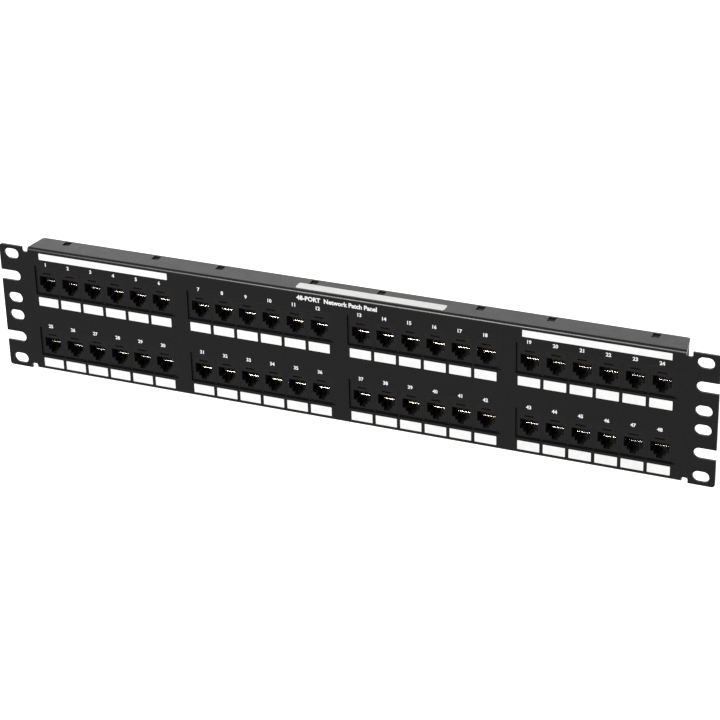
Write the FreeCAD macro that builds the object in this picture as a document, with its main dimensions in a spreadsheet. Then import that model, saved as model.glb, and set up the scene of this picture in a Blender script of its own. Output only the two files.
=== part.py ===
import FreeCAD, Part
import math
import os
import re
import Sketcher

# A 48-port patch panel for a 19-inch rack, two units high.
#
# Frame: +X runs along the panel, +Z is up and the ports look towards -Y. The origin is the centre of
# the rack bolt pattern on the rear face of the ears, so the sheet's front face is at -sheet_gauge.
# All sizes are in millimetres.

doc = FreeCAD.newDocument("PatchPanel")

COLUMNS = 4
ROWS = 2
PORTS_PER_MODULE = 6
WIRES_PER_PORT = 8
BLOCKS_PER_ROW = 3

SIZES = {
    # Sheet-metal front with its two return flanges
    "panel_width": 482.6,
    "panel_height": 88.1,
    "sheet_gauge": 1.5,
    "flange_length": 441.0,
    "flange_reach": 18.0,
    "flange_taper": 2.5,
    "flange_corner": 2.0,
    "bend_inside": 0.7,
    "relief_width": 4.0,
    "relief_corner": 1.2,
    "relief_land": 0.05,
    "ear_corner": 2.0,
    # Rack slots and open notches in the ears
    "rack_span": 465.1,
    "rack_outer": 76.2,
    "rack_inner": 12.7,
    "rack_notch": 44.45,
    "slot_length": 10.3,
    "slot_width": 7.1,
    # Module windows
    "window_width": 101.0,
    "window_height": 20.8,
    "window_lift": 21.7,
    "row_pitch": 44.45,
    "column_pitch": 110.5,
    # Snap slots in the flanges
    "snap_spacing": 65.0,
    "snap_width": 4.8,
    "snap_length": 5.5,
    "snap_web": 1.5,
    "snap_sink": 0.9,
    "snap_chamfer": 0.7,
    # Moulded carrier behind each column of two windows
    "carrier_width": 103.5,
    "carrier_depth": 16.0,
    "carrier_wall": 1.4,
    "carrier_plate": 2.0,
    "face_recess": 1.2,
    "fit_gap": 0.25,
    "nose_gap": 0.15,
    "post_spread": 95.0,
    "post_width": 4.4,
    "peg_width": 2.4,
    "peg_gap": 0.1,
    "peg_edge": 2.3,
    "peg_head_width": 4.2,
    "peg_head": 0.9,
    # Jack housings
    "port_pitch": 16.51,
    "port_shift": -0.7,
    "jack_width": 14.9,
    "jack_height": 17.0,
    "jack_drop": 0.85,
    "jack_length": 14.3,
    "jack_gap": 0.1,
    "release_gap": 0.8,
    "mouth_width": 11.8,
    "mouth_height": 6.7,
    "mouth_top": 2.64,
    "mouth_depth": 11.0,
    "key_width": 7.5,
    "key_drop": 2.1,
    "latch_width": 4.0,
    "latch_drop": 2.1,
    "latch_room": 6.0,
    "rim_gauge": 1.8,
    "slit_width": 6.0,
    "slit_height": 0.9,
    "slit_lift": 4.94,
    "slit_depth": 1.5,
    "channel_start": 1.9,
    "channel_cover": 0.2,
    "channel_gap": 0.13,
    # Contact springs
    "contact_pitch": 1.016,
    "contact_gauge": 0.36,
    "contact_lift": 3.95,
    "contact_bend": 2.2,
    "contact_hook": 0.5,
    "contact_drop": 1.6,
    "contact_knee": 5.8,
    "contact_low": 3.65,
    "contact_toe": 0.5,
    "contact_rise": 0.9,
    # Circuit boards
    "board_gauge": 1.6,
    # Insulation-displacement blocks and their clips
    "block_width": 32.4,
    "block_height": 8.4,
    "block_length": 12.4,
    "block_pitch": 33.0,
    "block_rows": 21.2,
    "block_base": 4.4,
    "tooth_point": 1.0,
    "tooth_step": 1.4,
    "clip_pitch": 3.8,
    "clip_slot": 1.3,
    "clip_width": 2.4,
    "clip_gauge": 0.6,
    "clip_gap": 0.15,
    "clip_length": 10.4,
    "clip_jaw": 0.4,
    "clip_throat": 5.5,
    "clip_lead": 0.8,
    "clip_prong": 0.5,
    # Labels
    "label_gauge": 0.15,
    "wiring_width": 98.0,
    "wiring_height": 9.0,
    "sticker_width": 99.0,
    "sticker_height": 7.2,
    "sticker_inset": 3.2,
    "sticker_shift": 18.3,
    "sticker_corner": 1.5,
}

sheet = doc.addObject("Spreadsheet::Sheet", "Sizes")
for row, (name, size) in enumerate(SIZES.items(), start=1):
    sheet.set(f"A{row}", name)
    sheet.set(f"B{row}", str(size))
    sheet.setAlias(f"B{row}", name)
doc.recompute()


# ---------------------------------------------------------------- expressions and sketches

def sized(text):
    """An expression in the sheet's sizes, written the way FreeCAD reads it."""
    return re.sub(r"[a-z_]+", lambda word: f"Sizes.{word[0]}", text)


def number(text):
    """The present value of an expression in the sheet's sizes."""
    return float(sheet.evalExpression(sized(text)))


def new_body(label):
    body = doc.addObject("PartDesign::Body", label)
    body.Label = label
    return body


def new_sketch(body, name, role, offset=None):
    """A sketch on one of its body's origin planes, or a stated way along that plane's normal."""
    sketch = body.newObject("Sketcher::SketchObject", name)
    support = next(item for item in body.Origin.OriginFeatures if item.Role == role)
    sketch.AttachmentSupport = (support, [""])
    sketch.MapMode = "FlatFace"
    if offset:
        sketch.setExpression("AttachmentOffset.Base.z", sized(offset))
    return sketch


def locate(sketch, edge, end, across, along):
    """Fixes one point of a sketch by its two distances from the sketch's origin."""
    for kind, text in (("DistanceX", across), ("DistanceY", along)):
        rule = Sketcher.Constraint(kind, -1, 1, edge, end, number(text))
        index = sketch.addConstraint(rule)
        sketch.setExpression(f"Constraints[{index}]", sized(text))


def polyline(sketch, corners, closed=True):
    """Straight edges through corners, each given as two expressions."""
    first = sketch.GeometryCount
    points = [FreeCAD.Vector(number(across), number(along), 0) for across, along in corners]
    count = len(points) if closed else len(points) - 1
    for step in range(count):
        sketch.addGeometry(Part.LineSegment(points[step], points[(step + 1) % len(points)]))
    for step in range(count if closed else count - 1):
        following = first + (step + 1) % count
        sketch.addConstraint(Sketcher.Constraint("Coincident", first + step, 2, following, 1))
    for step in range(count):
        locate(sketch, first + step, 1, *corners[step])
    if not closed:
        locate(sketch, first + count - 1, 2, *corners[-1])


def rectangle(sketch, left, right, low, high):
    polyline(sketch, [(left, low), (right, low), (right, high), (left, high)])


def centred(sketch, across, along, width, height):
    """A rectangle about a centre."""
    rectangle(sketch, f"{across} - {width} / 2", f"{across} + {width} / 2",
              f"{along} - {height} / 2", f"{along} + {height} / 2")


def circle(sketch, across, along, width):
    centre = FreeCAD.Vector(number(across), number(along), 0)
    edge = sketch.addGeometry(Part.Circle(centre, FreeCAD.Vector(0, 0, 1), number(width) / 2))
    locate(sketch, edge, 3, across, along)
    index = sketch.addConstraint(Sketcher.Constraint("Diameter", edge, number(width)))
    sketch.setExpression(f"Constraints[{index}]", sized(width))


def round_slot(sketch, left, right, along, width):
    """A slot with round ends, lying along the sketch's first axis."""
    radius = number(width) / 2
    ends = [(f"{left} + {width} / 2", 90, 270), (f"{right} - {width} / 2", -90, 90)]
    level = number(along)
    first = sketch.GeometryCount
    for across, start, stop in ends:
        centre = FreeCAD.Vector(number(across), level, 0)
        ring = Part.Circle(centre, FreeCAD.Vector(0, 0, 1), radius)
        sketch.addGeometry(Part.ArcOfCircle(ring, math.radians(start), math.radians(stop)))
    near, far = number(ends[0][0]), number(ends[1][0])
    sketch.addGeometry(Part.LineSegment(FreeCAD.Vector(near, level - radius, 0),
                                        FreeCAD.Vector(far, level - radius, 0)))
    sketch.addGeometry(Part.LineSegment(FreeCAD.Vector(far, level + radius, 0),
                                        FreeCAD.Vector(near, level + radius, 0)))
    joins = [(first, 2, first + 2, 1), (first + 2, 2, first + 1, 1),
             (first + 1, 2, first + 3, 1), (first + 3, 2, first, 1)]
    for join in joins:
        sketch.addConstraint(Sketcher.Constraint("Tangent", *join))
    locate(sketch, first, 3, ends[0][0], along)
    locate(sketch, first + 1, 3, ends[1][0], along)
    index = sketch.addConstraint(Sketcher.Constraint("Diameter", first, number(width)))
    sketch.setExpression(f"Constraints[{index}]", sized(width))


# ---------------------------------------------------------------- features

def pad(sketch, length, reverse=False, both_ways=False):
    body = sketch.getParentGeoFeatureGroup()
    feature = body.newObject("PartDesign::Pad", f"{sketch.Name}Pad")
    feature.Profile = (sketch, [""])
    feature.setExpression("Length", sized(length))
    feature.Reversed = reverse
    if both_ways:
        feature.SideType = "Symmetric"
    return feature


def pocket(sketch, depth=None, reverse=False):
    """A pocket of a stated depth, or one through everything both ways."""
    body = sketch.getParentGeoFeatureGroup()
    feature = body.newObject("PartDesign::Pocket", f"{sketch.Name}Pocket")
    feature.Profile = (sketch, [""])
    feature.Reversed = reverse
    if depth:
        feature.setExpression("Length", sized(depth))
    else:
        feature.SideType = "Symmetric"
        feature.Type = "ThroughAll"
    return feature


def dress(body, kind, name, size, wanted):
    """A fillet or chamfer on the edges of the body's last feature that are wanted."""
    doc.recompute()
    base = body.Tip
    edges = [f"Edge{place}" for place, edge in enumerate(base.Shape.Edges, start=1) if wanted(edge)]
    feature = body.newObject(f"PartDesign::{kind}", name)
    feature.Base = (base, edges)
    feature.setExpression("Radius" if kind == "Fillet" else "Size", sized(size))
    return feature


def runs_along(edge, axis):
    """Whether an edge is straight and parallel to X, Y or Z."""
    if edge.Curve.TypeId != "Part::GeomLine":
        return False
    return abs(getattr(edge.Curve.Direction, axis)) > 0.999


def near(value, text):
    return abs(value - number(text)) < 0.01


def group(label, master, places):
    """One node made of separate copies of a master piece, each shifted to its place."""
    copies = []
    for place in places:
        copy = master.Shape.copy()
        copy.translate(place)
        copies.append(copy)
    node = doc.addObject("Part::Feature", label)
    node.Shape = Part.makeCompound(copies)
    node.Label = label
    return node


# ---------------------------------------------------------------- front panel

def column_centre(column):
    return f"({column} - {(COLUMNS - 1) / 2}) * column_pitch"


def row_centre(row):
    return f"(window_lift - {row} * row_pitch)"


def make_front_panel():
    """Folded steel sheet: flat front with ears, and a return flange along the top and bottom."""
    body = new_body("front_panel")
    plate_top = "(panel_height / 2 - bend_inside - sheet_gauge)"
    relief_floor = f"{plate_top} - relief_corner - relief_land"

    face = new_sketch(body, "FaceOutline", "XZ_Plane")
    inner = "(flange_length / 2 + relief_width)"
    outline = [("panel_width / 2", "panel_height / 2"), (inner, "panel_height / 2"),
               (inner, relief_floor), ("flange_length / 2", relief_floor),
               ("flange_length / 2", plate_top)]
    left_top = [(f"-({across})", along) for across, along in reversed(outline)]
    left_low = [(f"-({across})", f"-({along})") for across, along in outline]
    right_low = [(across, f"-({along})") for across, along in reversed(outline)]
    polyline(face, outline + left_top + left_low + right_low)
    pad(face, "sheet_gauge")

    flange = new_sketch(body, "FlangeSection", "YZ_Plane")
    back = "flange_reach - sheet_gauge"
    for side in ("", "-"):
        section = [("-sheet_gauge", plate_top), ("-sheet_gauge", "(panel_height / 2)"),
                   (back, "(panel_height / 2)"), (back, "(panel_height / 2 - sheet_gauge)"),
                   ("0", "(panel_height / 2 - sheet_gauge)"), ("0", plate_top)]
        polyline(flange, [(across, f"{side}{along}") for across, along in section])
    pad(flange, "flange_length", both_ways=True)

    def outer_bend(edge):
        middle = edge.CenterOfMass
        return (runs_along(edge, "x") and near(middle.y, "-sheet_gauge")
                and near(abs(middle.z), "panel_height / 2") and abs(middle.x) < 1)

    def inner_bend(edge):
        middle = edge.CenterOfMass
        return (runs_along(edge, "x") and near(middle.y, "0")
                and near(abs(middle.z), "panel_height / 2 - sheet_gauge"))

    dress(body, "Fillet", "OuterBend", "bend_inside + sheet_gauge", outer_bend)
    dress(body, "Fillet", "InnerBend", "bend_inside", inner_bend)

    windows = new_sketch(body, "Windows", "XZ_Plane")
    for row in range(ROWS):
        for column in range(COLUMNS):
            centred(windows, column_centre(column), row_centre(row),
                    "window_width", "window_height")
    pocket(windows)

    slots = new_sketch(body, "RackSlots", "XZ_Plane")
    for side in ("-", ""):
        for level in ("rack_outer / 2", "rack_inner / 2", "-rack_inner / 2", "-rack_outer / 2"):
            round_slot(slots, f"{side}rack_span / 2 - slot_length / 2",
                       f"{side}rack_span / 2 + slot_length / 2", level, "slot_width")
    for level in ("rack_notch / 2", "-rack_notch / 2"):
        inner_end = "rack_span / 2 - slot_length / 2"
        outer_end = "panel_width / 2 + slot_width"
        round_slot(slots, inner_end, outer_end, level, "slot_width")
        round_slot(slots, f"-({outer_end})", f"-({inner_end})", level, "slot_width")
    pocket(slots)

    ends = new_sketch(body, "FlangeEnds", "XY_Plane")
    rear = "flange_reach - sheet_gauge"
    for side in ("", "-"):
        wedge = [("(flange_length / 2)", "bend_inside"), ("(flange_length / 2 - flange_taper)", rear),
                 ("(flange_length / 2)", f"{rear} + flange_taper"),
                 ("(flange_length / 2 + flange_taper)", rear)]
        polyline(ends, [(f"{side}{across}", along) for across, along in wedge])
    pocket(ends)

    snaps = new_sketch(body, "SnapSlots", "XY_Plane")
    for column in range(COLUMNS):
        for side in ("-", "+"):
            centred(snaps, f"({column_centre(column)} {side} snap_spacing / 2)",
                    "(flange_reach - sheet_gauge - snap_web - snap_length / 2)",
                    "snap_width", "snap_length")
    pocket(snaps)

    def flange_corner(edge):
        middle = edge.CenterOfMass
        return (runs_along(edge, "z") and near(middle.y, rear)
                and near(abs(middle.x), "flange_length / 2 - flange_taper"))

    def ear_corner(edge):
        middle = edge.CenterOfMass
        return (runs_along(edge, "y") and near(abs(middle.x), "panel_width / 2")
                and near(abs(middle.z), "panel_height / 2"))

    def relief_corner(edge):
        middle = edge.CenterOfMass
        return runs_along(edge, "y") and near(abs(middle.z), relief_floor)

    dress(body, "Fillet", "FlangeCorners", "flange_corner", flange_corner)
    dress(body, "Fillet", "EarCorners", "ear_corner", ear_corner)
    dress(body, "Fillet", "ReliefCorners", "relief_corner", relief_corner)
    return body


# ---------------------------------------------------------------- carrier

BOARD_FRONT = "(face_recess - sheet_gauge + jack_length)"
CARRIER_TOP = "(panel_height / 2 - sheet_gauge - bend_inside - fit_gap)"
BOARD_WIDTH = "(carrier_width - 2 * carrier_wall - 2 * fit_gap)"
BOARD_HEIGHT = f"({CARRIER_TOP} - 3 * carrier_wall / 2 - 2 * fit_gap)"
BOARD_CENTRE = f"({CARRIER_TOP} / 2 - carrier_wall / 4)"


def port_place(port):
    """How far a port is along the panel from its module's centre."""
    return f"(({port} - {(PORTS_PER_MODULE - 1) / 2}) * port_pitch + port_shift)"


def board_level(row):
    return BOARD_CENTRE if row == 0 else f"(-{BOARD_CENTRE})"


def peg_places(row):
    """The four pegs that hold the board of one row, as pairs of expressions."""
    reach = f"({BOARD_HEIGHT} / 2 - peg_edge)"
    return [(f"{side}post_spread / 2", f"({board_level(row)} {end} {reach})")
            for side in ("-", "") for end in ("-", "+")]


def make_carrier(column):
    """Moulded frame that fills two windows and snaps between the two flanges."""
    body = new_body(f"carrier_{column + 1}")
    half_width = "carrier_width / 2"
    half_rib = "carrier_wall / 2"

    walls = new_sketch(body, "CarrierWalls", "XZ_Plane")
    rectangle(walls, f"-{half_width}", half_width, f"-{CARRIER_TOP}", CARRIER_TOP)
    inside = f"{half_width} - carrier_wall"
    rectangle(walls, f"-({inside})", inside, half_rib, f"{CARRIER_TOP} - carrier_wall")
    rectangle(walls, f"-({inside})", inside, f"-({CARRIER_TOP} - carrier_wall)", f"-{half_rib}")
    pad(walls, "carrier_depth", reverse=True)

    plate = new_sketch(body, "CarrierPlate", "XZ_Plane")
    rectangle(plate, f"-{half_width}", half_width, f"-{CARRIER_TOP}", CARRIER_TOP)
    pad(plate, "carrier_plate", reverse=True)

    noses = new_sketch(body, "CarrierNoses", "XZ_Plane")
    for row in range(ROWS):
        centred(noses, "0", row_centre(row), "(window_width - 2 * nose_gap)",
                "(window_height - 2 * nose_gap)")
    pad(noses, "sheet_gauge - face_recess")

    posts = new_sketch(body, "BoardPosts", "XZ_Plane")
    pegs = new_sketch(body, "BoardPegs", "XZ_Plane")
    heads = new_sketch(body, "PegHeads", "XZ_Plane", f"-({BOARD_FRONT} + board_gauge)")
    for row in range(ROWS):
        for across, along in peg_places(row):
            circle(posts, across, along, "post_width")
            circle(pegs, across, along, "peg_width")
            circle(heads, across, along, "peg_head_width")
    pad(posts, BOARD_FRONT, reverse=True)
    pad(pegs, f"{BOARD_FRONT} + board_gauge", reverse=True)
    pad(heads, "peg_head", reverse=True)

    snap_rear = "(flange_reach - sheet_gauge - snap_web - fit_gap)"
    snaps = new_sketch(body, "SnapTabs", "XZ_Plane", f"-{snap_rear}")
    tab_top = "(panel_height / 2 - snap_sink)"
    for side in ("-", ""):
        for face in ("-", ""):
            span = [f"{side}snap_spacing / 2 - (snap_width / 2 - fit_gap)",
                    f"{side}snap_spacing / 2 + (snap_width / 2 - fit_gap)"]
            rectangle(snaps, *span, *sorted((f"{face}{CARRIER_TOP}", f"{face}{tab_top}"), key=number))
    pad(snaps, "snap_length - 2 * fit_gap")

    openings = new_sketch(body, "JackOpenings", "XZ_Plane")
    for row in range(ROWS):
        for port in range(PORTS_PER_MODULE):
            centred(openings, port_place(port), f"({row_centre(row)} - jack_drop - release_gap / 2)",
                    "(jack_width + 2 * jack_gap)", "(jack_height + 2 * jack_gap + release_gap)")
    pocket(openings)

    def tab_lead(edge):
        middle = edge.CenterOfMass
        return (runs_along(edge, "x") and near(abs(middle.z), tab_top)
                and near(middle.y, f"{snap_rear} - snap_length + 2 * fit_gap"))

    dress(body, "Chamfer", "SnapLead", "snap_chamfer", tab_lead)
    body.setExpression("Placement.Base.x", sized(column_centre(column)))
    return body


# ---------------------------------------------------------------- jack housing and contact

def make_jack():
    """One jack housing about its window's middle, with its face at Y = 0 and its latch side down."""
    body = new_body("jack_master")
    block = new_sketch(body, "JackBlock", "XZ_Plane")
    centred(block, "0", "-jack_drop", "jack_width", "jack_height")
    pad(block, "jack_length", reverse=True)

    mouth_floor = "(mouth_top - mouth_height)"
    key_floor = f"({mouth_floor} - key_drop)"
    latch_floor = f"({key_floor} - latch_drop)"
    mouth = new_sketch(body, "Mouth", "XZ_Plane")
    right = [("mouth_width / 2", "mouth_top"), ("mouth_width / 2", mouth_floor),
             ("key_width / 2", mouth_floor), ("key_width / 2", key_floor),
             ("latch_width / 2", key_floor), ("latch_width / 2", latch_floor)]
    left = [(f"-{across}", along) for across, along in reversed(right)]
    polyline(mouth, right + left)
    pocket(mouth, "mouth_depth")

    room = new_sketch(body, "LatchRoom", "XZ_Plane", "-rim_gauge")
    rectangle(room, "-key_width / 2", "key_width / 2", latch_floor, key_floor)
    pocket(room, "latch_room")

    slit = new_sketch(body, "TopSlit", "XZ_Plane")
    centred(slit, "0", "slit_lift", "slit_width", "slit_height")
    pocket(slit, "slit_depth")

    channel = new_sketch(body, "ContactChannel", "XZ_Plane", "-channel_start")
    span = f"({WIRES_PER_PORT - 1} * contact_pitch + contact_gauge + 2 * channel_gap)"
    rectangle(channel, f"-{span} / 2", f"{span} / 2", "mouth_top - channel_cover",
              "contact_lift + contact_gauge / 2 + channel_cover")
    pocket(channel, "jack_length")
    return body


def make_contact():
    """One spring wire: along the jack's roof, round behind its lip, down into the mouth, and up at its toe."""
    body = new_body("contact_master")
    route = new_sketch(body, "WireRoute", "YZ_Plane")
    polyline(route, [("jack_length", "contact_lift"), ("contact_bend + contact_hook", "contact_lift"),
                     ("contact_bend", "contact_lift - contact_drop / 2"),
                     ("contact_bend + contact_hook", "contact_lift - contact_drop"),
                     ("contact_knee", "-contact_low"),
                     ("contact_knee + contact_toe", "-contact_low + contact_rise")], closed=False)
    section = new_sketch(body, "WireSection", "XZ_Plane", "-jack_length")
    centred(section, "0", "contact_lift", "contact_gauge", "contact_gauge")
    wire = body.newObject("PartDesign::AdditivePipe", "Wire")
    wire.Profile = (section, [""])
    wire.Spine = (route, [""])
    wire.Transition = "Right corner"
    return body


# ---------------------------------------------------------------- board, blocks and clips

def make_board(label, column, row):
    """Circuit board of one module, with four holes for the carrier's pegs."""
    body = new_body(label)
    outline = new_sketch(body, "BoardOutline", "XZ_Plane", f"-{BOARD_FRONT}")
    centred(outline, "0", board_level(row), BOARD_WIDTH, BOARD_HEIGHT)
    for across, along in peg_places(row):
        circle(outline, across, along, "(peg_width + 2 * peg_gap)")
    pad(outline, "board_gauge", reverse=True)
    body.setExpression("Placement.Base.x", sized(column_centre(column)))
    return body


def slot_place(slot):
    return f"({slot} - {(WIRES_PER_PORT - 1) / 2}) * clip_pitch"


def tooth_place(tooth):
    return f"({tooth} - {WIRES_PER_PORT / 2}) * clip_pitch"


def make_block():
    """One punch-down block for the eight wires of a port, standing on Y = 0 with its teeth to +Y."""
    body = new_body("block_master")
    comb = new_sketch(body, "BlockComb", "XY_Plane")
    corners = [("-block_width / 2", "0"), ("-block_width / 2", "block_length - tooth_point"),
               (tooth_place(0), "block_length")]
    for slot in range(WIRES_PER_PORT):
        before, after = ("0", "tooth_step") if slot % 2 == 0 else ("tooth_step", "0")
        left = f"{slot_place(slot)} - clip_slot / 2"
        right = f"{slot_place(slot)} + clip_slot / 2"
        corners += [(left, f"block_length - tooth_point - {before}"), (left, "block_base"),
                    (right, "block_base"), (right, f"block_length - tooth_point - {after}"),
                    (tooth_place(slot + 1), f"block_length - {after}")]
    corners += [("block_width / 2", "block_length - tooth_point"), ("block_width / 2", "0")]
    polyline(comb, corners)
    pad(comb, "block_height", both_ways=True)

    seats = new_sketch(body, "ClipSeats", "XZ_Plane")
    for slot in range(WIRES_PER_PORT):
        centred(seats, slot_place(slot), "0", "(clip_width + 2 * clip_gap)",
                "(clip_gauge + 2 * clip_gap)")
    pocket(seats)
    return body


def make_clip():
    """One forked clip, standing on Y = 0 with its jaws open to +Y."""
    body = new_body("clip_master")
    fork = new_sketch(body, "ClipFork", "XY_Plane")
    right = [("clip_width / 2", "0"), ("clip_width / 2", "clip_length"),
             ("clip_width / 2 - clip_prong", "clip_length"),
             ("clip_jaw / 2", "clip_length - clip_lead"),
             ("clip_jaw / 2", "clip_length - clip_throat")]
    left = [(f"-({across})", along) for across, along in reversed(right)]
    polyline(fork, right + left)
    pad(fork, "clip_gauge", both_ways=True)
    return body


# ---------------------------------------------------------------- labels

def make_wiring_label(label, column, row):
    """Printed strip stuck on the board between its two rows of blocks."""
    body = new_body(label)
    strip = new_sketch(body, "Strip", "XZ_Plane", f"-({BOARD_FRONT} + board_gauge)")
    centred(strip, "0", board_level(row), "wiring_width", "wiring_height")
    pad(strip, "label_gauge", reverse=True)
    body.setExpression("Placement.Base.x", sized(column_centre(column)))
    return body


def make_flange_label():
    """Blank sticker on the top flange, near the bend."""
    body = new_body("flange_label")
    outline = new_sketch(body, "Sticker", "XY_Plane", "panel_height / 2")
    centred(outline, "sticker_shift", "(sticker_inset - sheet_gauge + sticker_height / 2)",
            "sticker_width", "sticker_height")
    pad(outline, "label_gauge")
    dress(body, "Fillet", "StickerCorners", "sticker_corner", lambda edge: runs_along(edge, "z"))
    return body


# ---------------------------------------------------------------- assembly

def module_origin(column, row):
    """Centre of a module's window, in the plane of the jack faces."""
    return FreeCAD.Vector(number(column_centre(column)), number("face_recess - sheet_gauge"),
                          number(row_centre(row)))


def jack_shifts():
    return [FreeCAD.Vector(number(port_place(port)), 0, 0) for port in range(PORTS_PER_MODULE)]


def contact_shifts():
    middle = (WIRES_PER_PORT - 1) / 2
    pitch = number("contact_pitch")
    return [shift + FreeCAD.Vector((wire - middle) * pitch, 0, 0)
            for shift in jack_shifts() for wire in range(WIRES_PER_PORT)]


def block_shifts():
    """Two rows of blocks, about the board's centre."""
    middle = (BLOCKS_PER_ROW - 1) / 2
    return [FreeCAD.Vector((place - middle) * number("block_pitch"), 0, end * number("block_rows") / 2)
            for end in (1, -1) for place in range(BLOCKS_PER_ROW)]


def clip_shifts():
    return [shift + FreeCAD.Vector(number(slot_place(slot)), 0, 0)
            for shift in block_shifts() for slot in range(WIRES_PER_PORT)]


nodes = [make_front_panel(), make_flange_label()]
nodes += [make_carrier(column) for column in range(COLUMNS)]
jack = make_jack()
contact = make_contact()
block = make_block()
clip = make_clip()
doc.recompute()

for row in range(ROWS):
    for column in range(COLUMNS):
        first = (row * COLUMNS + column) * PORTS_PER_MODULE + 1
        ports = f"{first:02d}_{first + PORTS_PER_MODULE - 1:02d}"
        window = module_origin(column, row)
        board_back = FreeCAD.Vector(window.x, number(f"{BOARD_FRONT} + board_gauge"),
                                    number(board_level(row)))
        parts = [(group(f"jacks_{ports}", jack, jack_shifts()), window),
                 (group(f"contacts_{ports}", contact, contact_shifts()), window),
                 (group(f"idc_blocks_{ports}", block, block_shifts()), board_back),
                 (group(f"idc_clips_{ports}", clip, clip_shifts()), board_back)]
        for node, place in parts:
            node.Placement = FreeCAD.Placement(place, FreeCAD.Rotation())
            nodes.append(node)
        nodes.append(make_board(f"board_{ports}", column, row))
        nodes.append(make_wiring_label(f"wiring_label_{ports}", column, row))
doc.recompute()

# ---------------------------------------------------------------- checks and export

for item in doc.Objects:
    if "Invalid" in item.State or "Error" in item.State:
        raise RuntimeError(f"{item.Label} failed: {item.State}")
for node in nodes:
    if node.Shape.isNull() or not node.Shape.isValid():
        raise RuntimeError(f"{node.Label} has no valid shape")

os.makedirs("parts", exist_ok=True)
for node in nodes:
    node.Shape.exportStep(f"parts/{node.Label}.step")
print(f"{len(nodes)} nodes, {sum(len(node.Shape.Solids) for node in nodes)} solids")
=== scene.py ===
import math

import bmesh
import bpy
from mathutils import Matrix, Vector


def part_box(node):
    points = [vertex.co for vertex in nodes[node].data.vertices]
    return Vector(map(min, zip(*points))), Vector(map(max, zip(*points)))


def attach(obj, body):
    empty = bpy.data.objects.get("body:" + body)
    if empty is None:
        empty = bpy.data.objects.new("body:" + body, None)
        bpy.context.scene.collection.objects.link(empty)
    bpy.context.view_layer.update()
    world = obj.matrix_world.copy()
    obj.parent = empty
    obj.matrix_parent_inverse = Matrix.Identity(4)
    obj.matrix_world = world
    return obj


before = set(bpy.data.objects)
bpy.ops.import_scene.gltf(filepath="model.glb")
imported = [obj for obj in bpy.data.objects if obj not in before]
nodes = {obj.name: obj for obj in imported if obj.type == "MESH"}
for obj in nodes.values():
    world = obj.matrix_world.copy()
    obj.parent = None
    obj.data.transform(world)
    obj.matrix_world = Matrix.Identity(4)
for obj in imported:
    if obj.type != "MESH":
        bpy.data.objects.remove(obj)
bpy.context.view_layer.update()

MM = 0.001


# ---------------------------------------------------------------- folded front
# One sheet of 1.5 mm steel, punched for the modules and the rack screws, with its top and bottom
# edges folded back. It is powder coated black all over, with a fine dry texture like fine sandpaper.

def new_finish(name):
    """An empty finish and the parts of it that every section builds on."""
    finish = bpy.data.materials.new(name)
    finish.use_nodes = True
    tree = finish.node_tree
    shader = tree.nodes["Principled BSDF"]
    return finish, tree, shader


def grain(tree, size, detail=3.0, stretch=(1, 1, 1)):
    """Noise whose features are about size millimetres across, in the object's own space."""
    place = tree.nodes.new("ShaderNodeTexCoord")
    mapping = tree.nodes.new("ShaderNodeMapping")
    mapping.inputs["Scale"].default_value = stretch
    noise = tree.nodes.new("ShaderNodeTexNoise")
    noise.inputs["Scale"].default_value = 1 / (size * MM)
    noise.inputs["Detail"].default_value = detail
    tree.links.new(place.outputs["Object"], mapping.inputs["Vector"])
    tree.links.new(mapping.outputs["Vector"], noise.inputs["Vector"])
    return noise


def vary_colour(tree, shader, noise, dark, light):
    """Base colour that wanders between two near shades."""
    ramp = tree.nodes.new("ShaderNodeValToRGB")
    ramp.color_ramp.elements[0].position = 0.35
    ramp.color_ramp.elements[0].color = (*dark, 1)
    ramp.color_ramp.elements[1].position = 0.65
    ramp.color_ramp.elements[1].color = (*light, 1)
    tree.links.new(noise.outputs["Fac"], ramp.inputs["Fac"])
    tree.links.new(ramp.outputs["Color"], shader.inputs["Base Color"])


def vary_gloss(tree, shader, noise, smooth, rough):
    """Roughness that wanders between two values."""
    spread = tree.nodes.new("ShaderNodeMapRange")
    spread.inputs["From Min"].default_value = 0.3
    spread.inputs["From Max"].default_value = 0.7
    spread.inputs["To Min"].default_value = smooth
    spread.inputs["To Max"].default_value = rough
    tree.links.new(noise.outputs["Fac"], spread.inputs["Value"])
    tree.links.new(spread.outputs["Result"], shader.inputs["Roughness"])


def roughen(tree, shader, noise, height, strength=1.0, before=None):
    """Surface relief of about height millimetres, added to any relief before it."""
    bump = tree.nodes.new("ShaderNodeBump")
    bump.inputs["Strength"].default_value = strength
    bump.inputs["Distance"].default_value = height * MM
    tree.links.new(noise.outputs["Fac"], bump.inputs["Height"])
    if before:
        tree.links.new(before.outputs["Normal"], bump.inputs["Normal"])
    tree.links.new(bump.outputs["Normal"], shader.inputs["Normal"])
    return bump


def dress(node, finish):
    """Puts one finish on every face of a node or piece."""
    node.data.materials.clear()
    node.data.materials.append(finish)


def powder_coat():
    finish, tree, shader = new_finish("powder_coat")
    vary_colour(tree, shader, grain(tree, 1.5, 4), (0.0024, 0.0024, 0.0026), (0.0052, 0.0052, 0.0055))
    vary_gloss(tree, shader, grain(tree, 9, 5), 0.25, 0.33)
    pebble = roughen(tree, shader, grain(tree, 0.9, 2), 0.03, 0.4)
    roughen(tree, shader, grain(tree, 0.3, 2), 0.010, 0.4, pebble)
    shader.inputs["Specular IOR Level"].default_value = 0.42
    return finish


dress(nodes["front_panel"], powder_coat())
panel_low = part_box("front_panel")[0]
FACE = panel_low.y


# ---------------------------------------------------------------- carriers
# Four black moulded frames, one behind each pair of windows. Their noses fill the windows and their
# tabs snap into slots in the folded flanges. The moulding has a fine spark-eroded texture.

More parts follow.
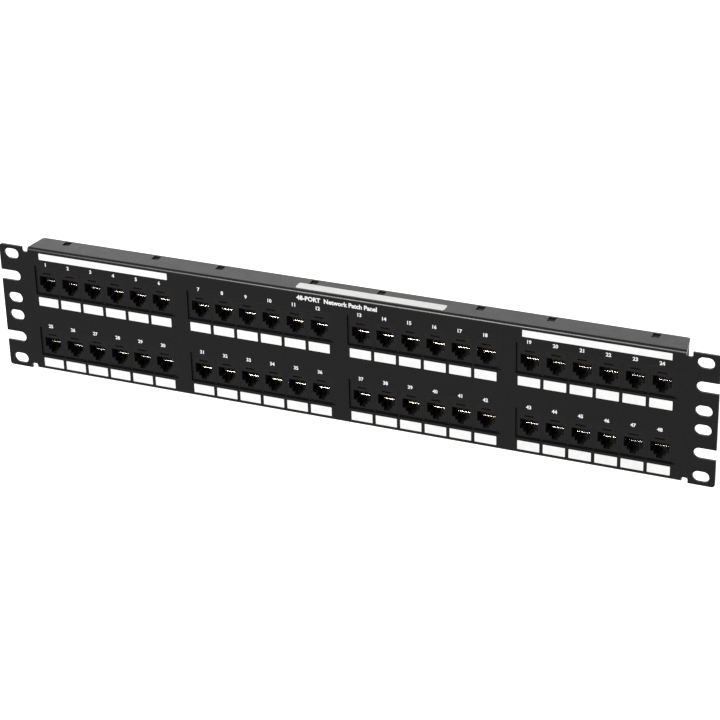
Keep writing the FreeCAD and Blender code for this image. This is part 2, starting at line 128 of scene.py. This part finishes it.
def carrier_plastic():
    finish, tree, shader = new_finish("carrier_plastic")
    vary_colour(tree, shader, grain(tree, 14, 3), (0.0035, 0.0035, 0.0040), (0.0052, 0.0052, 0.0058))
    vary_gloss(tree, shader, grain(tree, 3, 3), 0.50, 0.62)
    roughen(tree, shader, grain(tree, 0.25, 2), 0.012, 0.6)
    shader.inputs["Specular IOR Level"].default_value = 0.36
    return finish


moulded_frame = carrier_plastic()
for column in range(1, 5):
    dress(nodes[f"carrier_{column}"], moulded_frame)


# ---------------------------------------------------------------- jack housings
# Six black moulded sockets to a module, pushed into the carrier from behind. They are a little
# shinier than the carrier, with faint flow marks that run back from the face.

FIRST_PORTS = [1 + 6 * module for module in range(8)]
MODULES = [f"{first:02d}_{first + 5:02d}" for first in FIRST_PORTS]


def jack_plastic():
    finish, tree, shader = new_finish("jack_plastic")
    vary_colour(tree, shader, grain(tree, 6, 3, (1, 0.3, 1)), (0.0035, 0.0035, 0.0040),
                (0.0055, 0.0055, 0.0062))
    vary_gloss(tree, shader, grain(tree, 2, 3, (1, 0.2, 1)), 0.36, 0.50)
    roughen(tree, shader, grain(tree, 0.35, 2), 0.010, 0.5)
    shader.inputs["Specular IOR Level"].default_value = 0.40
    return finish


socket_plastic = jack_plastic()
for ports in MODULES:
    dress(nodes[f"jacks_{ports}"], socket_plastic)

PORT_PITCH = 16.51 * MM


def port_centres(ports):
    """The middle of each of a module's six housings, from the left, as (x, z)."""
    low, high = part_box(f"jacks_{ports}")
    middle = (low + high) / 2
    return [(middle.x + (place - 2.5) * PORT_PITCH, middle.z) for place in range(6)]


# ---------------------------------------------------------------- contact springs
# Eight round-cornered wires in each socket, bent from phosphor bronze and plated with pale gold.
# They lean out of the housing's channel into the mouth, and their rear ends stand on the board.

def gold_plate():
    finish, tree, shader = new_finish("contact_gold")
    vary_colour(tree, shader, grain(tree, 2.5, 2), (0.90, 0.83, 0.66), (0.97, 0.93, 0.82))
    vary_gloss(tree, shader, grain(tree, 0.8, 3), 0.16, 0.34)
    roughen(tree, shader, grain(tree, 0.15, 2, (4, 1, 4)), 0.004, 0.5)
    shader.inputs["Metallic"].default_value = 1.0
    return finish


spring_wire = gold_plate()
for ports in MODULES:
    dress(nodes[f"contacts_{ports}"], spring_wire)


# ---------------------------------------------------------------- circuit boards
# Glass laminate boards under green solder mask, held on the carrier's pegs. The weave of the glass
# shows faintly through the mask. On the four upper boards the solder joints of the contact springs
# stand in two staggered rows.

def solder_mask():
    finish, tree, shader = new_finish("board_laminate")
    vary_colour(tree, shader, grain(tree, 20, 3), (0.008, 0.075, 0.034), (0.014, 0.105, 0.048))
    vary_gloss(tree, shader, grain(tree, 5, 3), 0.22, 0.36)
    weave = tree.nodes.new("ShaderNodeTexWave")
    weave.bands_direction = "Z"
    weave.inputs["Scale"].default_value = 320
    weave.inputs["Distortion"].default_value = 0.6
    place = tree.nodes.new("ShaderNodeTexCoord")
    tree.links.new(place.outputs["Object"], weave.inputs["Vector"])
    roughen(tree, shader, weave, 0.006, 0.35)
    shader.inputs["Coat Weight"].default_value = 0.4
    shader.inputs["Coat Roughness"].default_value = 0.12
    return finish


def solder():
    finish, tree, shader = new_finish("solder")
    vary_colour(tree, shader, grain(tree, 1.2, 2), (0.52, 0.53, 0.54), (0.72, 0.72, 0.71))
    vary_gloss(tree, shader, grain(tree, 0.5, 2), 0.18, 0.42)
    shader.inputs["Metallic"].default_value = 1.0
    return finish


def piece_from(name, mesh, finish):
    """Makes a finished bmesh into a piece that rides on the panel."""
    data = bpy.data.meshes.new(name)
    bmesh.ops.recalc_face_normals(mesh, faces=mesh.faces)
    mesh.to_mesh(data)
    mesh.free()
    piece = bpy.data.objects.new(name, data)
    bpy.context.scene.collection.objects.link(piece)
    data.materials.append(finish)
    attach(piece, "root")
    return piece


def add_dome(mesh, centre, radius, height, sides=10, rings=3):
    """A solder joint: a low dome on a surface that faces +Y, with a flat closed foot."""
    rows = []
    for ring in range(rings):
        lean = ring / rings * math.pi / 2
        level = height * math.sin(lean)
        reach = radius * math.cos(lean)
        turns = [2 * math.pi * side / sides for side in range(sides)]
        rows.append([mesh.verts.new(centre + Vector((reach * math.cos(turn), level, reach * math.sin(turn))))
                     for turn in turns])
    top = mesh.verts.new(centre + Vector((0, height, 0)))
    mesh.faces.new(rows[0])
    for lower, upper in zip(rows, rows[1:]):
        for side in range(sides):
            after = (side + 1) % sides
            mesh.faces.new((lower[side], lower[after], upper[after], upper[side]))
    for side in range(sides):
        mesh.faces.new((rows[-1][side], rows[-1][(side + 1) % sides], top))


CONTACT_PITCH = 1.016 * MM
HALF_WIRE = 0.18 * MM
JOINT_ROW = 0.35 * MM
JOINT_RADIUS = 0.34 * MM
JOINT_HEIGHT = 0.32 * MM

mask = solder_mask()
tin = solder()
for ports in MODULES:
    dress(nodes[f"board_{ports}"], mask)

for ports in MODULES[:4]:
    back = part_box(f"board_{ports}")[1].y
    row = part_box(f"contacts_{ports}")[1].z - HALF_WIRE
    joints = bmesh.new()
    for across, _ in port_centres(ports):
        for wire in range(8):
            level = row + (JOINT_ROW if wire % 2 else -JOINT_ROW)
            spot = Vector((across + (wire - 3.5) * CONTACT_PITCH, back, level))
            add_dome(joints, spot, JOINT_RADIUS, JOINT_HEIGHT)
    piece = piece_from(f"solder_joints_{ports}", joints, tin)
    for face in piece.data.polygons:
        face.use_smooth = True


# ---------------------------------------------------------------- punch-down blocks
# Six black moulded combs to a board, one for each port. A wire is pushed down between two teeth, and
# the pointed teeth part the pairs.

def block_plastic():
    finish, tree, shader = new_finish("idc_plastic")
    vary_colour(tree, shader, grain(tree, 8, 3), (0.012, 0.012, 0.0135), (0.018, 0.018, 0.020))
    vary_gloss(tree, shader, grain(tree, 2.5, 3), 0.34, 0.50)
    roughen(tree, shader, grain(tree, 0.4, 2), 0.012, 0.5)
    shader.inputs["Specular IOR Level"].default_value = 0.45
    return finish


comb_plastic = block_plastic()
for ports in MODULES:
    dress(nodes[f"idc_blocks_{ports}"], comb_plastic)


# ---------------------------------------------------------------- punch-down clips
# A forked clip of tin-plated bronze in every slot, whose jaws cut through the wire's insulation. It
# is stamped from strip, and stands on the board.

def tin_plate():
    finish, tree, shader = new_finish("idc_metal")
    vary_colour(tree, shader, grain(tree, 3, 3), (0.62, 0.62, 0.60), (0.80, 0.79, 0.76))
    vary_gloss(tree, shader, grain(tree, 0.7, 3, (1, 5, 1)), 0.20, 0.40)
    roughen(tree, shader, grain(tree, 0.2, 2, (1, 6, 1)), 0.004, 0.5)
    shader.inputs["Metallic"].default_value = 1.0
    return finish


clip_plate = tin_plate()
for ports in MODULES:
    dress(nodes[f"idc_clips_{ports}"], clip_plate)


# ---------------------------------------------------------------- wiring labels
# A white film strip on each board, printed with the wire colours of the eight slots of every block
# above and below it, and with the port numbers.

def label_film(name):
    finish, tree, shader = new_finish(name)
    vary_colour(tree, shader, grain(tree, 12, 3), (0.78, 0.78, 0.765), (0.86, 0.86, 0.85))
    vary_gloss(tree, shader, grain(tree, 2, 3), 0.46, 0.62)
    roughen(tree, shader, grain(tree, 0.35, 3), 0.006, 0.4)
    return finish


def print_ink(name, colour):
    """Printed ink: a flat colour that is a little uneven where it lies thin."""
    finish, tree, shader = new_finish(name)
    thin = tuple(channel * 0.86 for channel in colour)
    vary_colour(tree, shader, grain(tree, 1.4, 3), thin, colour)
    vary_gloss(tree, shader, grain(tree, 0.8, 2), 0.42, 0.58)
    roughen(tree, shader, grain(tree, 0.12, 2), 0.004, 0.4)
    return finish


def outline_patch(mesh, outline, back, front):
    """A thin closed patch between two planes square to Y, from its outline of (x, z) points."""
    rear = [mesh.verts.new((x, back, z)) for x, z in outline]
    fore = [mesh.verts.new((x, front, z)) for x, z in outline]
    mesh.faces.new(rear)
    mesh.faces.new(fore)
    for step in range(len(outline)):
        after = (step + 1) % len(outline)
        mesh.faces.new((rear[step], rear[after], fore[after], fore[step]))


def round_rectangle(centre, width, height, radius, steps=4):
    """The outline of a rectangle with round corners, as (x, z) points."""
    points = []
    corners = [(1, 1, 0), (-1, 1, 90), (-1, -1, 180), (1, -1, 270)]
    for right, up, start in corners:
        for step in range(steps + 1):
            turn = math.radians(start + 90 * step / steps)
            points.append((centre[0] + right * (width / 2 - radius) + radius * math.cos(turn),
                           centre[1] + up * (height / 2 - radius) + radius * math.sin(turn)))
    return points


def lettering(text, height, centre, level, thickness, facing, weight=0.0):
    """Raised print of a text, centred on (x, z) at a stated height of its capitals, as a mesh."""
    curve = bpy.data.curves.new(text, "FONT")
    curve.body = text
    curve.align_x = "CENTER"
    curve.size = 1.0
    curve.offset = weight
    curve.extrude = 0.5
    curve.resolution_u = 3
    shape = bpy.data.objects.new(text, curve)
    bpy.context.scene.collection.objects.link(shape)
    bpy.context.view_layer.update()
    graph = bpy.context.evaluated_depsgraph_get()
    mesh = bpy.data.meshes.new_from_object(shape.evaluated_get(graph))
    bpy.data.objects.remove(shape)
    bpy.data.curves.remove(curve)
    low = [min(vert.co[axis] for vert in mesh.vertices) for axis in range(3)]
    high = [max(vert.co[axis] for vert in mesh.vertices) for axis in range(3)]
    scale = height / (high[1] - low[1])
    for vert in mesh.vertices:
        across = (vert.co.x - (low[0] + high[0]) / 2) * scale
        up = (vert.co.y - (low[1] + high[1]) / 2) * scale
        out = (vert.co.z + 0.5) * thickness
        vert.co = (centre[0] + facing * across, level - facing * out, centre[1] + up)
    return mesh


def join_meshes(meshes):
    joined = bmesh.new()
    for mesh in meshes:
        joined.from_mesh(mesh)
        bpy.data.meshes.remove(mesh)
    return joined


CLIP_PITCH = 3.8 * MM
BLOCK_PITCH = 33.0 * MM
INK = 0.03 * MM
SWATCH_WIDTH = 2.9 * MM
SWATCH_HEIGHT = 1.9 * MM
STRIPE_HEIGHT = 0.6 * MM
SWATCH_EDGE = 1.5 * MM
SWATCH_CORNER = 0.12 * MM
FIGURE_HEIGHT = 2.0 * MM
FIGURE_ROWS = 2.9 * MM
FIGURE_WEIGHT = 0.01
PAIR_COLOURS = {"blue": (0.02, 0.10, 0.55), "orange": (0.80, 0.22, 0.02),
                "green": (0.02, 0.30, 0.06), "brown": (0.16, 0.06, 0.02)}

film = label_film("label_film")
pair_inks = {pair: print_ink(f"{pair}_ink", colour) for pair, colour in PAIR_COLOURS.items()}
black_ink = print_ink("black_ink", (0.02, 0.02, 0.022))

for first, ports in zip(FIRST_PORTS, MODULES):
    dress(nodes[f"wiring_label_{ports}"], film)
    low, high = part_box(f"wiring_label_{ports}")
    middle = (low + high) / 2
    prints = {pair: bmesh.new() for pair in PAIR_COLOURS}
    for row in (1, -1):
        level = middle.z + row * ((high.z - low.z) / 2 - SWATCH_EDGE)
        for block in (-1, 0, 1):
            for slot in range(8):
                across = middle.x + block * BLOCK_PITCH + (slot - 3.5) * CLIP_PITCH
                pair = list(PAIR_COLOURS)[slot // 2]
                tall = SWATCH_HEIGHT if slot % 2 else STRIPE_HEIGHT
                outline = round_rectangle((across, level), SWATCH_WIDTH, tall, SWATCH_CORNER, 2)
                outline_patch(prints[pair], outline, high.y, high.y + INK)
    for pair, mesh in prints.items():
        piece_from(f"wiring_{pair}_{ports}", mesh, pair_inks[pair])
    figures = []
    for row in (0, 1):
        for block in (-1, 0, 1):
            port = first + 3 * row + (1 - block)
            spot = (middle.x + block * BLOCK_PITCH, middle.z + (0.5 - row) * FIGURE_ROWS)
            figures.append(lettering(str(port), FIGURE_HEIGHT, spot, high.y, INK, -1, FIGURE_WEIGHT))
    piece_from(f"wiring_numbers_{ports}", join_meshes(figures), black_ink)


# ---------------------------------------------------------------- flange sticker
# A blank white paper sticker with round corners, cut from a roll and stuck along the middle of the
# top flange next to the fold.

dress(nodes["flange_label"], label_film("sticker_paper"))


# ---------------------------------------------------------------- write-on cells and strips
# Screen-printed white patches on the front: one under each port for its name, and a long one over
# the first and the last module.

def white_ink():
    finish, tree, shader = new_finish("white_ink")
    vary_colour(tree, shader, grain(tree, 5, 3), (0.86, 0.86, 0.855), (0.93, 0.93, 0.925))
    vary_gloss(tree, shader, grain(tree, 2, 3), 0.44, 0.60)
    roughen(tree, shader, grain(tree, 0.5, 3), 0.012, 0.5)
    return finish


CELL_WIDTH = 14.25 * MM
CELL_HEIGHT = 6.1 * MM
CELL_DROP = 14.4 * MM
CELL_CORNER = 0.35 * MM
STRIP_WIDTH = 93.0 * MM
STRIP_HEIGHT = 4.5 * MM
STRIP_LIFT = 18.0 * MM
PRINT_SHIFT = 0.7 * MM

screen_ink = white_ink()
for ports in MODULES:
    cells = bmesh.new()
    for across, level in port_centres(ports):
        outline = round_rectangle((across, level - CELL_DROP), CELL_WIDTH, CELL_HEIGHT, CELL_CORNER)
        outline_patch(cells, outline, FACE, FACE - INK)
    piece_from(f"write_on_cells_{ports}", cells, screen_ink)

for ports in (MODULES[0], MODULES[3]):
    centres = port_centres(ports)
    across = (centres[0][0] + centres[-1][0]) / 2 + PRINT_SHIFT
    middle = (across, centres[0][1] + STRIP_LIFT)
    strip = bmesh.new()
    outline = round_rectangle(middle, STRIP_WIDTH, STRIP_HEIGHT, CELL_CORNER)
    outline_patch(strip, outline, FACE, FACE - INK)
    piece_from(f"name_strip_{ports}", strip, screen_ink)


# ---------------------------------------------------------------- port numbers
# White figures over the ports and a plain heading between the two middle modules, screen printed
# with the same ink as the cells.

NUMBER_HEIGHT = 2.55 * MM
NUMBER_LIFT = 12.75 * MM
HEADING_TEXT = "48-PORT  Network Patch Panel"
HEADING_HEIGHT = 3.2 * MM
HEADING_PLACE = (-2.0 * MM, 39.1 * MM)
PRINT_WEIGHT = 0.035

for first, ports in zip(FIRST_PORTS, MODULES):
    figures = []
    for place, (across, level) in enumerate(port_centres(ports)):
        spot = (across, level + NUMBER_LIFT)
        figures.append(lettering(str(first + place), NUMBER_HEIGHT, spot, FACE, INK, 1, PRINT_WEIGHT))
    piece_from(f"port_numbers_{ports}", join_meshes(figures), screen_ink)

heading = lettering(HEADING_TEXT, HEADING_HEIGHT, HEADING_PLACE, FACE, INK, 1, PRINT_WEIGHT)
piece_from("heading", join_meshes([heading]), screen_ink)


# ---------------------------------------------------------------- studio
# A wide pale table far below the panel, a soft box at the front on the left, and a bright screen
# behind, whose reflection makes the top flange grey. The black front mirrors the white walls of the
# room and the hollows don't, so the sockets look blacker than the face.

FLOOR_DROP = 480 * MM
FLOOR_START = 120 * MM
FLOOR_WIDTH = 6.0
FLOOR_LENGTH = 7.0
ROOM_LIGHT = 0.45
BACKDROP = 1.0


def table_top():
    finish, tree, shader = new_finish("table_top")
    vary_colour(tree, shader, grain(tree, 400, 2), (0.93, 0.93, 0.93), (0.95, 0.95, 0.95))
    vary_gloss(tree, shader, grain(tree, 60, 2), 0.75, 0.85)
    shader.inputs["Emission Color"].default_value = (1, 1, 1, 1)
    shader.inputs["Emission Strength"].default_value = 0.75
    return finish


table = bmesh.new()
bmesh.ops.create_grid(table, x_segments=8, y_segments=8, size=0.5)
bmesh.ops.scale(table, vec=(FLOOR_WIDTH, FLOOR_LENGTH, 1), verts=table.verts)
data = bpy.data.meshes.new("table")
table.to_mesh(data)
table.free()
floor = bpy.data.objects.new("table", data)
floor.location = (0, FLOOR_START + FLOOR_LENGTH / 2, panel_low.z - FLOOR_DROP)
bpy.context.scene.collection.objects.link(floor)
dress(floor, table_top())


def soft_light(name, azimuth, elevation, distance, size, radiance):
    """A square soft box aimed at the panel's middle. Azimuth 0 is in front of it, 90 to its right."""
    turn, rise = math.radians(azimuth), math.radians(elevation)
    away = Vector((math.sin(turn) * math.cos(rise), -math.cos(turn) * math.cos(rise), math.sin(rise)))
    lamp = bpy.data.lights.new(name, "AREA")
    lamp.shape = "SQUARE"
    lamp.size = size
    lamp.energy = radiance * math.pi * size ** 2
    light = bpy.data.objects.new(name, lamp)
    light.location = away * distance
    light.rotation_mode = "QUATERNION"
    light.rotation_quaternion = away.to_track_quat("Z", "Y")
    bpy.context.scene.collection.objects.link(light)


soft_light("front_box", azimuth=-20, elevation=32, distance=3.4, size=1.1, radiance=26.0)
soft_light("back_screen", azimuth=203, elevation=17, distance=3.4, size=2.8, radiance=0.98)

world = bpy.data.worlds.new("room")
bpy.context.scene.world = world
world.use_nodes = True
room = world.node_tree.nodes["Background"]
rays = world.node_tree.nodes.new("ShaderNodeLightPath")
strength = world.node_tree.nodes.new("ShaderNodeMapRange")
strength.inputs["To Min"].default_value = ROOM_LIGHT
strength.inputs["To Max"].default_value = BACKDROP
world.node_tree.links.new(rays.outputs["Is Camera Ray"], strength.inputs["Value"])
world.node_tree.links.new(strength.outputs["Result"], room.inputs["Strength"])
room.inputs["Color"].default_value = (1.0, 1.0, 1.0, 1)
bpy.context.scene.view_settings.view_transform = "Standard"


# ---------------------------------------------------------------- camera
# A long lens a metre and a half away, above the panel and to its right, tipped a little to one side.
# It aims near the middle of the front.

AZIMUTH, ELEVATION, ROLL = (math.radians(angle) for angle in (23.12, 26.95, -1.49))
DISTANCE = 1.466
LENS = 117.6
AIM = Vector((12.9 * MM, FACE, 2.4 * MM))

back = Vector((math.sin(AZIMUTH) * math.cos(ELEVATION), -math.cos(AZIMUTH) * math.cos(ELEVATION),
               math.sin(ELEVATION)))
level = Vector((math.cos(AZIMUTH), math.sin(AZIMUTH), 0))
rise = back.cross(level)
right = level * math.cos(ROLL) + rise * math.sin(ROLL)
up = rise * math.cos(ROLL) - level * math.sin(ROLL)
lens = bpy.data.cameras.new("camera")
lens.lens = LENS
lens.sensor_width = 36
lens.clip_start = 0.05
lens.clip_end = 50
camera = bpy.data.objects.new("camera", lens)
bpy.context.scene.collection.objects.link(camera)
turned = Matrix((right, up, back)).transposed()
camera.matrix_world = Matrix.Translation(AIM + back * DISTANCE) @ turned.to_4x4()
bpy.context.scene.camera = camera
